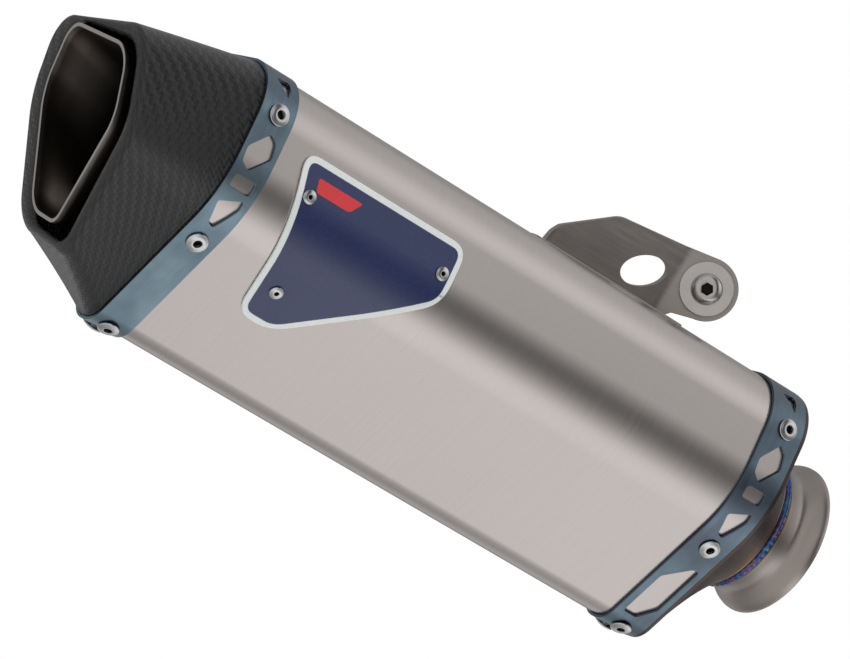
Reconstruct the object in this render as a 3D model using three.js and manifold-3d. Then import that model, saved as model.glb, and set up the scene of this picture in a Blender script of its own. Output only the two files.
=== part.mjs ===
// Slip-on racing silencer for a motorcycle, millimetres.
// +X runs along the can towards the inlet, -Y is the outer (badge) side, +Z is up.
// The origin is the centre of the inlet flare's open end, so the can lies along -X.
import * as THREE from "three";
import { mergeVertices } from "three/addons/utils/BufferGeometryUtils.js";
import { ParametricGeometry } from "three/addons/geometries/ParametricGeometry.js";
import Module from "manifold-3d";

const wasm = await Module();
wasm.setup();

// ---------- driving dimensions ----------
const GAP = 0.3;

// The can is symmetric about a plane through this point that leans over by tilt towards +Y.
const CAN_PLANE = { y: -13, z: -69, tilt: THREE.MathUtils.degToRad(8.4) };

function mirrored([y, z, ...rest]) {
  const normal = new THREE.Vector2(Math.cos(CAN_PLANE.tilt), -Math.sin(CAN_PLANE.tilt));
  const point = new THREE.Vector2(y, z);
  const distance = point.clone().sub(new THREE.Vector2(CAN_PLANE.y, CAN_PLANE.z)).dot(normal);
  point.addScaledVector(normal, -2 * distance);
  return [point.x, point.y, ...rest];
}

// Corners of the can, the cap rim, the cap opening and the outlet tip, from the top on the +Y side
// down and round to the top on the -Y side: each is [y, z, corner radius, facets round the corner].
const CAN_NEAR_CORNERS = [[-20, -66.5, 12, 4], [-58.3, 6.3, 50, 6], [-46.5, 61.2, 23, 4]];
const CAN_SECTION = [...CAN_NEAR_CORNERS.map(mirrored).reverse(), ...CAN_NEAR_CORNERS];
const RIM_SECTION = [
  [54, 34.2, 20, 4], [56.5, -1, 36, 6], [30, -50, 24, 4],
  [-24, -51.5, 12, 4], [-51.5, 8, 30, 6], [-35, 49, 22, 4],
];
const MOUTH_SECTION = [
  [33.5, 36.3, 15, 4], [42, 4, 28, 6], [18, -45.5, 16, 4],
  [-18.5, -46.5, 11, 4], [-40.5, 9, 20, 6], [-29.5, 40, 17, 4],
];
const TIP_SECTION = [
  [31.5, 34.8, 13, 4], [39.5, 4, 26, 6], [15.5, -42, 16, 4],
  [-11, -42, 9, 4], [-36, 8, 20, 6], [-28, 36.8, 15, 4],
];
const OUTLET_SLANT = -0.27;
// Pieces that each straight stretch of an outline is split into where it must meet a circle.
const ROUND_STRETCHES = [3, 5, 2, 5, 3, 6];

const SLEEVE = { front: -357, rear: -51, wall: 1.2 };
const FRONT_STRAP = { front: -359, rear: -342, rivetX: -350 };
const REAR_STRAP = { front: -68.5, rear: -49, rivetX: -58 };
const STRAP_WALL = 1.2;
const STRAP_INNER = GAP;
const STRAP_OUTER = STRAP_INNER + STRAP_WALL;

const CAP = { rim: -401, lip: 3, spigotRear: -339, spigotWall: 2, rimInset: 2.5 };
// Rolled lip of the cap: [share of the way from the opening to the rim, distance behind the crest].
const CAP_LIP = [[0.2, 0.8], [0.45, 0], [0.75, 0.5]];
const TIP = { rim: -403, wall: 1.5, collarRear: -340.5, collarFront: -352, shapedFrom: -380 };
const INSERT_SCREW_HOLE = { x: -376.5, y: 24, z: -25, radius: 3.5, length: 20, tilt: Math.PI / 3 };

const CORE = { rear: -56, front: -347, outer: 28, wall: 1.5 };
const CORE_HOLES = { radius: 3.5, rows: 5, perRow: 8, firstX: -105, pitch: 45, facets: 6 };
const PACKING = { rear: -76, front: -334 };
const BULKHEAD = { rear: -335.5, front: -337.5 };

const INLET_CAP = {
  rimRear: -47, skirtFront: -73, skirtWall: 1.5, noseX: -25, noseRadius: 33.5, noseLength: 6,
};
// Cone from the inlet cap's rim to its nose: [share of the way to the nose, distance past the rim].
const CONE_OUTER = [[0.55, 10], [0.9, 19]];
const CONE_INNER = [[0.5, 6]];
const NECK = { rear: -19.5, front: -72, inner: 28.3, wall: 1.5 };
const BEAD = { rear: -19, front: -24.2, height: 3, edgeHeight: 1.8 };
const FLARE = { rear: 0, front: -18.6, waist: 30.2, mouth: 36, wall: 1.6 };
const FLARE_SWELL = { from: 0.35, to: 0.95, steps: 8 };

const STRAP_RIVET = { head: 4.8, headHeight: 1.5, shank: 2.2, hole: 2.5, recess: 1.8 };
const BADGE_RIVET = { head: 3.1, headHeight: 1.1, shank: 1.5, hole: 1.8, recess: 1 };
// Strap rivets on the badge side, as [y, z] near the strap's surface. The far side mirrors them.
const RIVET_SITES = [[-52, 43.5], [-50, -18], [-18, -66]];

const BADGE = { wall: 1, corner: 8, rearX: -242, frontX: -331 };
const BADGE_RIVETS = [[-321, 21.5], [-306, -23], [-248.5, 23]];

// The hanger's web stands at y = 0. Its ends are bent towards the badge side: slope is y per x.
const BRACKET = { wall: 2.5, webBottom: 55.6, frontBendX: -178.5, frontSlope: 0.5, rearBendX: -116.57 };
const FOOT = { front: -196, rear: -108, near: -16, far: 4 };
const WEB_WINDOW = { x: -130.5, z: 71, halfLength: 11.5, halfWidth: 7, tilt: 0.5, facets: 16 };
const TAB = { x: -103.1, z: 78.4, radius: 14.2, arcEnd: -1.45, hole: 4.3, yaw: Math.PI / 6 };
const WASHER = { outer: 12, inner: 4.3, wall: 2 };
const BOLT = { head: 7, headHeight: 4.4, shank: 3.7, length: 20, socket: 2.9, socketDepth: 2.6 };
const NUT = { acrossFlats: 13, height: 7.5, flange: 8.7, flangeHeight: 1.5, bore: 4 };

const ROUND_FACETS = 28;
const RIVET_FACETS = 8;

// ---------- materials ----------
const metal = (color, roughness, metalness = 1) =>
  new THREE.MeshStandardMaterial({ color, roughness, metalness });
const titanium = metal(0xb9afaa, 0.38);
const titaniumInner = metal(0x8e8680, 0.45);
const blueTitanium = metal(0x5f84a0, 0.35);
const carbonFibre = metal(0x2a2c2e, 0.4, 0.1);
const stainless = metal(0x9a9690, 0.4);
const heatTinted = metal(0x5a6ea8, 0.35);
const aluminium = metal(0xcfcfd0, 0.3);
const bracketSteel = metal(0x736c64, 0.5);
const wool = metal(0xd8d2b8, 0.95, 0);
const badgeEnamel = metal(0x22315f, 0.3, 0);

// ---------- outlines ----------
// Rounded outline of a section, moved out by offset.
// A stretch follows each corner, and stretches says how many pieces it is split into.
function outline(section, offset = 0, stretches = [1, 1, 1, 1, 1, 1]) {
  const corners = section.map(([y, z, radius, facets]) => ({ y, z, radius, facets }));
  const arcs = corners.map((corner, i) => {
    const here = new THREE.Vector2(corner.y, corner.z);
    const before = corners[(i + corners.length - 1) % corners.length];
    const after = corners[(i + 1) % corners.length];
    const toBefore = new THREE.Vector2(before.y, before.z).sub(here).normalize();
    const toAfter = new THREE.Vector2(after.y, after.z).sub(here).normalize();
    const halfAngle = Math.acos(toBefore.dot(toAfter)) / 2;
    const inward = toBefore.clone().add(toAfter).normalize();
    const centre = here.clone().addScaledVector(inward, corner.radius / Math.sin(halfAngle));
    const sweep = Math.PI - 2 * halfAngle;
    const middle = Math.atan2(-inward.y, -inward.x);
    const reach = corner.radius + offset;
    const arc = [];
    for (let k = 0; k <= corner.facets; k += 1) {
      const angle = middle + sweep * (0.5 - k / corner.facets);
      arc.push([centre.x + reach * Math.cos(angle), centre.y + reach * Math.sin(angle)]);
    }
    return arc;
  });
  return arcs.flatMap((arc, i) => {
    const [startY, startZ] = arc[arc.length - 1];
    const [endY, endZ] = arcs[(i + 1) % arcs.length][0];
    const between = [];
    for (let k = 1; k < stretches[i]; k += 1) {
      const t = k / stretches[i];
      between.push([startY + (endY - startY) * t, startZ + (endZ - startZ) * t]);
    }
    return [...arc, ...between];
  });
}

const fineOutline = (section, offset = 0) => outline(section, offset, ROUND_STRETCHES);

// Circle with one point for each point of the can's fine outline, at the same angle round the axis.
function circleLike(radius) {
  return fineOutline(CAN_SECTION).map(([y, z]) => {
    const angle = Math.atan2(z, y);
    return [radius * Math.cos(angle), radius * Math.sin(angle)];
  });
}

const blend = (from, to, t) => from.map(([y, z], i) => [
  y + (to[i][0] - y) * t,
  z + (to[i][1] - z) * t,
]);

// A ring is an outline standing at x, its top leaning by slant millimetres per millimetre.
const ring = (points, x, slant = 0) => points.map(([y, z]) => new THREE.Vector3(x + slant * z, y, z));

// Closed wall through a list of rings: the last ring joins the first.
function wallThrough(rings) {
  const around = rings[0].length;
  const pick = (u, v, target) => {
    const row = rings[Math.round(v * rings.length) % rings.length];
    target.copy(row[(around - Math.round(u * around)) % around]);
  };
  return new ParametricGeometry(pick, around, rings.length);
}

const shell = (section, front, rear, inner, outer) => wallThrough([
  ring(outline(section, outer), front),
  ring(outline(section, outer), rear),
  ring(outline(section, inner), rear),
  ring(outline(section, inner), front),
]);

// ---------- solids ----------
function merged(geometry) {
  const bare = geometry.index ? geometry.toNonIndexed() : geometry.clone();
  bare.deleteAttribute("normal");
  bare.deleteAttribute("uv");
  return mergeVertices(bare, 1e-4);
}

function solid(geometry) {
  const bare = merged(geometry);
  return new wasm.Manifold(new wasm.Mesh({
    numProp: 3,
    vertProperties: new Float32Array(bare.attributes.position.array),
    triVerts: new Uint32Array(bare.index.array),
  }));
}

function geometryOf(body) {
  const mesh = body.getMesh();
  const geometry = new THREE.BufferGeometry();
  geometry.setAttribute("position", new THREE.BufferAttribute(mesh.vertProperties.slice(), 3));
  geometry.setIndex(new THREE.BufferAttribute(mesh.triVerts.slice(), 1));
  return geometry;
}

const cut = (geometry, cutters) => geometryOf(
  cutters.reduce((body, cutter) => body.subtract(solid(cutter)), solid(geometry)),
);

// Turned piece round the X axis from a closed profile of [x, radius], inner wall first.
function turned(profile, facets = ROUND_FACETS) {
  const closed = [profile[0], ...profile.slice().reverse()];
  const points = closed.map(([x, radius]) => new THREE.Vector2(radius, x));
  return new THREE.LatheGeometry(points, facets).rotateZ(-Math.PI / 2);
}

// Turned piece round the Z axis, its profile of [radius, z] starting and ending on the axis.
function spun(profile, facets) {
  const points = profile.map(([radius, z]) => new THREE.Vector2(radius, z));
  return new THREE.LatheGeometry(points, facets).rotateX(Math.PI / 2);
}

function polygonShape(points, corner) {
  const shape = new THREE.Shape();
  points.forEach(([x, y], i) => {
    const here = new THREE.Vector2(x, y);
    const before = new THREE.Vector2(...points[(i + points.length - 1) % points.length]);
    const after = new THREE.Vector2(...points[(i + 1) % points.length]);
    const start = here.clone().addScaledVector(before.sub(here).normalize(), corner);
    const end = here.clone().addScaledVector(after.sub(here).normalize(), corner);
    if (i === 0) {
      shape.moveTo(start.x, start.y);
    } else {
      shape.lineTo(start.x, start.y);
    }
    shape.quadraticCurveTo(here.x, here.y, end.x, end.y);
  });
  shape.closePath();
  return shape;
}

const prism = (shape, depth, curveSegments = 2) => new THREE.ExtrudeGeometry(shape, {
  depth,
  bevelEnabled: false,
  curveSegments,
}).translate(0, 0, -depth / 2);

const pin = (radius, length, facets = 10) =>
  new THREE.CylinderGeometry(radius, radius, length, facets).rotateX(Math.PI / 2);

// Frame on the can's surface at x, on the facet nearest to [y, z]:
// local Z points out of the can, local X runs along it.
function seat(x, y, z, offset = 0) {
  const points = outline(CAN_SECTION, offset);
  let best = null;
  points.forEach(([y0, z0], i) => {
    const [y1, z1] = points[(i + 1) % points.length];
    const along = new THREE.Vector2(y1 - y0, z1 - z0);
    const t = THREE.MathUtils.clamp(((y - y0) * along.x + (z - z0) * along.y) / along.lengthSq(), 0, 1);
    const foot = new THREE.Vector2(y0 + along.x * t, z0 + along.y * t);
    const distance = foot.distanceTo(new THREE.Vector2(y, z));
    if (best === null || distance < best.distance) {
      best = { distance, foot, along: along.normalize() };
    }
  });
  const out = new THREE.Vector3(0, -best.along.y, best.along.x);
  if (out.y * best.foot.x + out.z * best.foot.y < 0) {
    out.negate();
  }
  const lengthwise = new THREE.Vector3(1, 0, 0);
  const sideways = out.clone().cross(lengthwise);
  return new THREE.Matrix4()
    .makeBasis(lengthwise, sideways, out)
    .setPosition(x, best.foot.x, best.foot.y);
}

// ---------- the scene graph ----------
const silencer = new THREE.Group();

function add(name, geometry, material, parent = silencer) {
  const mesh = new THREE.Mesh(merged(geometry), material.clone());
  mesh.name = name;
  parent.add(mesh);
  return mesh;
}

// ---------- rivets ----------
function rivetGeometry(kind, grip) {
  const tail = grip + 2 * kind.shank;
  const bulge = kind.shank * 1.5;
  return spun([
    [0, -tail],
    [kind.shank, -tail],
    [bulge, -grip - kind.shank],
    [kind.shank, -grip],
    [kind.shank, 0],
    [kind.head, 0],
    [kind.head, kind.headHeight * 0.35],
    [kind.head * 0.62, kind.headHeight],
    [kind.recess, kind.headHeight],
    [kind.recess, -kind.headHeight],
    [0, -kind.headHeight],
  ], RIVET_FACETS);
}

const bothSides = (sites) => [...sites, ...sites.map(mirrored)];

const drillAt = (frame, radius) => pin(radius, 16).applyMatrix4(frame);

const strapSites = bothSides(RIVET_SITES);
const strapFrames = (strap) => strapSites.map(([y, z]) => seat(strap.rivetX, y, z, STRAP_OUTER + GAP));
const frontHoles = () => strapFrames(FRONT_STRAP).map((frame) => drillAt(frame, STRAP_RIVET.hole));
const rearHoles = () => strapFrames(REAR_STRAP).map((frame) => drillAt(frame, STRAP_RIVET.hole));

function addRivets(prefix, frames, kind, grip) {
  frames.forEach((frame, i) => {
    const mesh = add(`${prefix}_${i + 1}`, rivetGeometry(kind, grip), aluminium);
    frame.decompose(mesh.position, mesh.quaternion, mesh.scale);
  });
}

// ---------- outer sleeve ----------
const badgeSurface = GAP + BADGE.wall + GAP;
const badgeFrames = BADGE_RIVETS.map(([x, z]) => seat(x, -56, z, badgeSurface));
const badgeHoles = () => badgeFrames.map((frame) => drillAt(frame, BADGE_RIVET.hole));

function sleeve() {
  const body = shell(CAN_SECTION, SLEEVE.front, SLEEVE.rear, -SLEEVE.wall, 0);
  return cut(body, [...frontHoles(), ...rearHoles(), ...badgeHoles()]);
}

add("outer_sleeve", sleeve(), titanium);

// ---------- straps ----------
// Windows cut in a strap: [centre height, corner points as [along X, up the surface]].
const FRONT_WINDOWS = [
  [27, [[-5.9, -6.5], [-1.3, -9.1], [6.5, 0], [5.2, 6.5], [1.3, 9.1], [-6.5, 0]]],
  [-1.5, [[-5.5, 2.8], [5, 7.7], [5.5, 3.3], [1.1, -8.8], [-2.2, -7.7]]],
];
const REAR_WINDOWS = [
  [27.5, [[-5.9, -6.5], [-1.3, -9.8], [6.5, 0], [5.2, 6.5], [1.3, 9.8], [-6.5, 0]]],
  [-3.5, [[-5.5, 2.8], [5, 7.7], [5.5, 3.3], [1.1, -8.8], [-2.2, -7.7]]],
  [-45, [[-6.3, -17.5], [1.2, -17.5], [6.9, -9.2], [6.9, 17.5], [3.5, 17.5], [-6.3, 6.9]]],
];
const CORNER_WINDOW = [[-3.5, 3.5], [3.5, 4.5], [4, 0], [3, -5]];
const SMALL_WINDOW = [[-5.5, -3.2], [5.5, -3.2], [5.5, 3.2], [-5.5, 3.2]];
const SIDE_Y = -56;
const LOW_Y = -34;
const WINDOW_DEPTH = 8;
const WINDOW_CORNER = 1.4;

// Places of a strap's windows on the badge side: [y, z, corner radius, points].
const windowPlaces = (windows) => [
  ...windows.map(([z, points]) => [z > -25 ? SIDE_Y : LOW_Y, z, WINDOW_CORNER, points]),
  [SIDE_Y, 12, 2.2, SMALL_WINDOW],
  [-43, 55, 1.2, CORNER_WINDOW],
];

function windowCutters(strap, windows) {
  const centreX = (strap.front + strap.rear) / 2;
  const cutter = (y, z, corner, points) =>
    prism(polygonShape(points, corner), WINDOW_DEPTH).applyMatrix4(seat(centreX, y, z, STRAP_OUTER));
  return windowPlaces(windows).flatMap(([y, z, corner, points]) => {
    const flipped = points.map(([x, up]) => [x, -up]).reverse();
    return [cutter(y, z, corner, points), cutter(...mirrored([y, z]), corner, flipped)];
  });
}

function strapBody(strap, windows, holes) {
  const body = shell(CAN_SECTION, strap.front, strap.rear, STRAP_INNER, STRAP_OUTER);
  return cut(body, [...windowCutters(strap, windows), ...holes]);
}

add("front_strap", strapBody(FRONT_STRAP, FRONT_WINDOWS, frontHoles()), blueTitanium);
add("rear_strap", strapBody(REAR_STRAP, REAR_WINDOWS, rearHoles()), blueTitanium);
const strapGrip = STRAP_OUTER + SLEEVE.wall + GAP + CAP.spigotWall + 2 * GAP;
addRivets("front_strap_rivet", strapFrames(FRONT_STRAP), STRAP_RIVET, strapGrip);
addRivets("rear_strap_rivet", strapFrames(REAR_STRAP), STRAP_RIVET, strapGrip);

// ---------- outlet cap ----------
function outletCap() {
  const canOuter = outline(CAN_SECTION);
  const rimOuter = outline(RIM_SECTION);
  const mouth = outline(MOUTH_SECTION);
  const shoulder = SLEEVE.front - GAP;
  const spigotOuter = -SLEEVE.wall - GAP;
  const spigotInner = spigotOuter - CAP.spigotWall;
  const brow = FRONT_STRAP.front - GAP;
  const lipRear = CAP.rim + CAP.lip;
  const throat = blend(outline(CAN_SECTION, spigotInner), outline(RIM_SECTION, -CAP.rimInset), 0.85);
  const brim = (t) => ring(blend(canOuter, rimOuter, t), brow + (lipRear - brow) * t, OUTLET_SLANT * t);
  return cut(wallThrough([
    ring(outline(CAN_SECTION, spigotOuter), CAP.spigotRear),
    ring(outline(CAN_SECTION, spigotInner), CAP.spigotRear),
    ring(outline(CAN_SECTION, spigotInner), shoulder),
    ring(throat, shoulder + (CAP.rim - shoulder) * 0.8, OUTLET_SLANT * 0.8),
    ring(mouth, lipRear, OUTLET_SLANT),
    ...CAP_LIP.map(([t, behind]) => ring(blend(mouth, rimOuter, t), CAP.rim + behind, OUTLET_SLANT)),
    brim(1),
    brim(0.7),
    brim(0.35),
    ring(canOuter, brow),
    ring(canOuter, shoulder),
    ring(outline(CAN_SECTION, spigotOuter), shoulder),
  ]), frontHoles());
}

add("outlet_cap", outletCap(), carbonFibre);

// ---------- outlet tip, bulkhead, core and packing ----------
function outletTip() {
  const collarInner = CORE.outer + 2 * GAP;
  const collarOuter = collarInner + TIP.wall;
  const rimOuter = fineOutline(TIP_SECTION);
  const rimInner = fineOutline(TIP_SECTION, -TIP.wall);
  const shaped = blend(circleLike(collarOuter), rimOuter, 0.9);
  const shapedInner = blend(circleLike(collarInner), rimInner, 0.9);
  const body = wallThrough([
    ring(rimOuter, TIP.rim, OUTLET_SLANT),
    ring(shaped, TIP.shapedFrom, OUTLET_SLANT * 0.5),
    ring(circleLike(collarOuter), TIP.collarFront),
    ring(circleLike(collarOuter), TIP.collarRear),
    ring(circleLike(collarInner), TIP.collarRear),
    ring(circleLike(collarInner), TIP.collarFront),
    ring(shapedInner, TIP.shapedFrom, OUTLET_SLANT * 0.5),
    ring(rimInner, TIP.rim, OUTLET_SLANT),
  ]);
  const { x, y, z, radius, length, tilt } = INSERT_SCREW_HOLE;
  return cut(body, [pin(radius, length).rotateX(tilt).translate(x, y, z)]);
}

add("outlet_tip", outletTip(), titaniumInner);

// Offset of a piece that sits inside the outlet cap's spigot with clearance.
const insideSpigot = -SLEEVE.wall - CAP.spigotWall - 3 * GAP;

function bulkheadPlate() {
  const rim = fineOutline(CAN_SECTION, insideSpigot);
  const bore = circleLike(CORE.outer + 2 * GAP);
  return wallThrough([
    ring(rim, BULKHEAD.front),
    ring(rim, BULKHEAD.rear),
    ring(bore, BULKHEAD.rear),
    ring(bore, BULKHEAD.front),
  ]);
}

add("outlet_bulkhead", bulkheadPlate(), stainless);

function perforatedCore() {
  const inner = CORE.outer - CORE.wall;
  const tube = turned([
    [CORE.front, inner], [CORE.rear, inner], [CORE.rear, CORE.outer], [CORE.front, CORE.outer],
  ]);
  const holes = [];
  for (let row = 0; row < CORE_HOLES.rows; row += 1) {
    for (let k = 0; k < CORE_HOLES.perRow / 2; k += 1) {
      const angle = Math.PI * (k + 0.25 + 0.5 * (row % 2)) / (CORE_HOLES.perRow / 2);
      holes.push(pin(CORE_HOLES.radius, 4 * CORE.outer, CORE_HOLES.facets)
        .rotateX(angle)
        .translate(CORE_HOLES.firstX - row * CORE_HOLES.pitch, 0, 0));
    }
  }
  return cut(tube, holes);
}

add("perforated_core", perforatedCore(), stainless);

// The badge rivets' tails press pockets into the wool.
function packingWool() {
  const body = wallThrough([
    ring(fineOutline(CAN_SECTION, insideSpigot), PACKING.front),
    ring(fineOutline(CAN_SECTION, insideSpigot), PACKING.rear),
    ring(circleLike(CORE.outer + 3 * GAP), PACKING.rear),
    ring(circleLike(CORE.outer + 3 * GAP), PACKING.front),
  ]);
  return cut(body, badgeFrames.map((frame) => drillAt(frame, BADGE_RIVET.head)));
}

add("packing_wool", packingWool(), wool);

// ---------- inlet end ----------
function inletCap() {
  const { rimRear, skirtFront, skirtWall, noseX, noseRadius, noseLength } = INLET_CAP;
  const rimFront = REAR_STRAP.rear + GAP;
  const bore = NECK.inner + NECK.wall + 2 * GAP;
  const skirtOuter = -SLEEVE.wall - GAP;
  const skirtInner = skirtOuter - skirtWall;
  const face = fineOutline(CAN_SECTION, STRAP_OUTER - GAP);
  const nose = circleLike(noseRadius);
  const innerFace = fineOutline(CAN_SECTION, skirtInner);
  return cut(wallThrough([
    ring(fineOutline(CAN_SECTION, skirtOuter), skirtFront),
    ring(fineOutline(CAN_SECTION, skirtOuter), rimFront),
    ring(face, rimFront),
    ring(face, rimRear),
    ...CONE_OUTER.map(([t, distance]) => ring(blend(face, nose, t), rimRear + distance)),
    ring(nose, noseX),
    ring(circleLike(bore), noseX),
    ring(circleLike(bore), noseX - noseLength),
    ...CONE_INNER.map(([t, distance]) => ring(blend(innerFace, nose, t), rimRear + distance)),
    ring(innerFace, rimRear - 3),
    ring(innerFace, skirtFront),
  ]), rearHoles());
}

add("inlet_cap", inletCap(), stainless);

const neckOuter = NECK.inner + NECK.wall;
add("inlet_neck", turned([
  [NECK.front, NECK.inner], [NECK.rear, NECK.inner], [NECK.rear, neckOuter], [NECK.front, neckOuter],
]), stainless);

const beadInner = neckOuter + GAP;
const beadMiddle = (BEAD.front + BEAD.rear) / 2;
add("inlet_weld_bead", turned([
  [BEAD.front, beadInner], [BEAD.rear, beadInner], [BEAD.rear, beadInner + BEAD.edgeHeight],
  [beadMiddle, beadInner + BEAD.height], [BEAD.front, beadInner + BEAD.edgeHeight],
]), heatTinted);

// Bell profile: the waist stays narrow, then the wall swells to the mouth and turns straight.
function flareRadius(t) {
  const swell = THREE.MathUtils.smoothstep(t, FLARE_SWELL.from, FLARE_SWELL.to);
  return FLARE.waist + (FLARE.mouth - FLARE.waist) * swell;
}

function inletFlare() {
  const { steps } = FLARE_SWELL;
  const length = FLARE.rear - FLARE.front;
  const outer = [];
  const inner = [];
  for (let i = 0; i <= steps; i += 1) {
    const x = FLARE.front + length * i / steps;
    outer.push([x, flareRadius(i / steps)]);
    inner.unshift([x, flareRadius(i / steps) - FLARE.wall]);
  }
  return turned([...inner.reverse(), ...outer.reverse()]);
}

add("inlet_flare", inletFlare(), titanium);

// ---------- badge ----------
const BADGE_CORNERS = [
  [BADGE.frontX, 38], [BADGE.frontX + 18, -34], [BADGE.frontX + 36, -34],
  [BADGE.rearX, 12], [BADGE.rearX, 38],
];

function badgePlate() {
  const plate = shell(CAN_SECTION, BADGE.frontX - 5, BADGE.rearX + 5, GAP, GAP + BADGE.wall);
  const block = prism(polygonShape(BADGE_CORNERS, BADGE.corner), 60);
  block.rotateX(Math.PI / 2).translate(0, -60, 0);
  const blank = solid(plate).intersect(solid(block));
  return geometryOf(badgeHoles().reduce((body, hole) => body.subtract(solid(hole)), blank));
}

add("badge_plate", badgePlate(), badgeEnamel);
addRivets("badge_rivet", badgeFrames, BADGE_RIVET, badgeSurface + SLEEVE.wall + GAP);

// ---------- hanger bracket ----------
const rearSlope = -Math.tan(TAB.yaw);
const TAB_CENTRE = new THREE.Vector3(TAB.x, rearSlope * (TAB.x - BRACKET.rearBendX), TAB.z);
const TAB_FACE = new THREE.Vector3(-Math.sin(TAB.yaw), -Math.cos(TAB.yaw), 0);

function tabFrame() {
  const up = new THREE.Vector3(0, 0, 1);
  const across = up.clone().cross(TAB_FACE).normalize();
  return new THREE.Matrix4().makeBasis(across, up, TAB_FACE).setPosition(TAB_CENTRE);
}

// Web outline in x and z: the foot edge, the sloping front, the long top and the round tab end.
function webShape() {
  const shape = new THREE.Shape();
  shape.moveTo(-184, BRACKET.webBottom);
  shape.lineTo(-181.5, 64.5);
  shape.lineTo(-178.5, 68.7);
  shape.lineTo(-156.5, 84.2);
  shape.quadraticCurveTo(-153.5, 86.2, -149.5, 86.4);
  shape.lineTo(BRACKET.rearBendX, 90.2);
  const across = TAB.radius * Math.cos(TAB.yaw);
  shape.absellipse(TAB.x, TAB.z, across, TAB.radius, Math.PI / 2, TAB.arcEnd, true);
  shape.lineTo(-109.8, 61.7);
  shape.lineTo(-114.6, BRACKET.webBottom);
  shape.closePath();
  const { x, z, halfLength, halfWidth, tilt, facets } = WEB_WINDOW;
  const rim = [];
  for (let k = 0; k < facets; k += 1) {
    const angle = 2 * Math.PI * k / facets;
    const point = new THREE.Vector2(halfLength * Math.cos(angle), halfWidth * Math.sin(angle));
    rim.push(point.rotateAround(new THREE.Vector2(), tilt).add(new THREE.Vector2(x, z)));
  }
  shape.holes.push(new THREE.Path(rim));
  return shape;
}

// Stretch of the web between two x positions, bent away from y = 0 with its slope from hingeX on.
function webPart(fromX, toX, hingeX, slope) {
  const web = prism(webShape(), BRACKET.wall, 6);
  web.rotateX(Math.PI / 2).translate(0, BRACKET.wall / 2, 0);
  const keep = new THREE.BoxGeometry(toX - fromX, 60, 100).translate((fromX + toX) / 2, 0, 70);
  const geometry = geometryOf(solid(web).intersect(solid(keep)));
  const position = geometry.attributes.position;
  const thicker = Math.hypot(1, slope);
  for (let i = 0; i < position.count; i += 1) {
    position.setY(i, position.getY(i) * thicker + slope * (position.getX(i) - hingeX));
  }
  return solid(geometry);
}

// The foot lies on the can's sloping top.
function bracketFoot() {
  const [topY, topZ] = CAN_SECTION[CAN_SECTION.length - 1];
  const { front, rear, near, far } = FOOT;
  const middleY = (near + far) / 2;
  return solid(new THREE.BoxGeometry(rear - front, far - near, BRACKET.wall)
    .translate((front + rear) / 2, 0, GAP + BRACKET.wall / 2)
    .rotateX(-CAN_PLANE.tilt)
    .translate(0, middleY, topZ - Math.tan(CAN_PLANE.tilt) * (middleY - topY)));
}

function hangerBracket() {
  const { frontBendX, frontSlope, rearBendX } = BRACKET;
  const hole = pin(TAB.hole, 20, 16).applyMatrix4(tabFrame());
  const body = bracketFoot()
    .add(webPart(frontBendX - 50, frontBendX, frontBendX, frontSlope))
    .add(webPart(frontBendX, rearBendX, rearBendX, 0))
    .add(webPart(rearBendX, rearBendX + 50, rearBendX, rearSlope));
  return geometryOf(body.subtract(solid(hole)));
}

add("hanger_bracket", hangerBracket(), bracketSteel);

// Bolt stack on the tab: local Z of this group is the bolt's axis, pointing to the head.
const stack = new THREE.Group();
tabFrame().decompose(stack.position, stack.quaternion, stack.scale);
silencer.add(stack);

const washerGeometry = geometryOf(
  solid(pin(WASHER.outer, WASHER.wall, 24)).subtract(solid(pin(WASHER.inner, 10, 16))),
);
add("hanger_washer", washerGeometry, aluminium, stack).position.z = GAP + WASHER.wall / 2;

function boltGeometry() {
  const { head, headHeight, shank, length } = BOLT;
  const body = spun([
    [0, -length], [shank - 0.7, -length], [shank, -length + 0.7], [shank, 0],
    [head, 0], [head, headHeight * 0.3], [head * 0.86, headHeight * 0.7],
    [head * 0.55, headHeight], [0, headHeight],
  ], 20);
  const socket = pin(BOLT.socket, 2 * BOLT.socketDepth, 6).translate(0, 0, headHeight);
  return cut(body, [socket]);
}

add("hanger_bolt", boltGeometry(), aluminium, stack).position.z = 2 * GAP + WASHER.wall;

function nutGeometry() {
  const hexRadius = NUT.acrossFlats / 2 / Math.cos(Math.PI / 6);
  const hex = pin(hexRadius, NUT.height, 6).translate(0, 0, -NUT.height / 2);
  const flange = pin(NUT.flange, NUT.flangeHeight, 18).translate(0, 0, -NUT.flangeHeight / 2);
  return geometryOf(solid(hex).add(solid(flange)).subtract(solid(pin(NUT.bore, 40, 16))));
}

add("hanger_nut", nutGeometry(), stainless, stack).position.z = -BRACKET.wall - 2 * GAP;

export default silencer;
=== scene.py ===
import math

import bmesh
import bpy
from mathutils import Matrix, Vector


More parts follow.
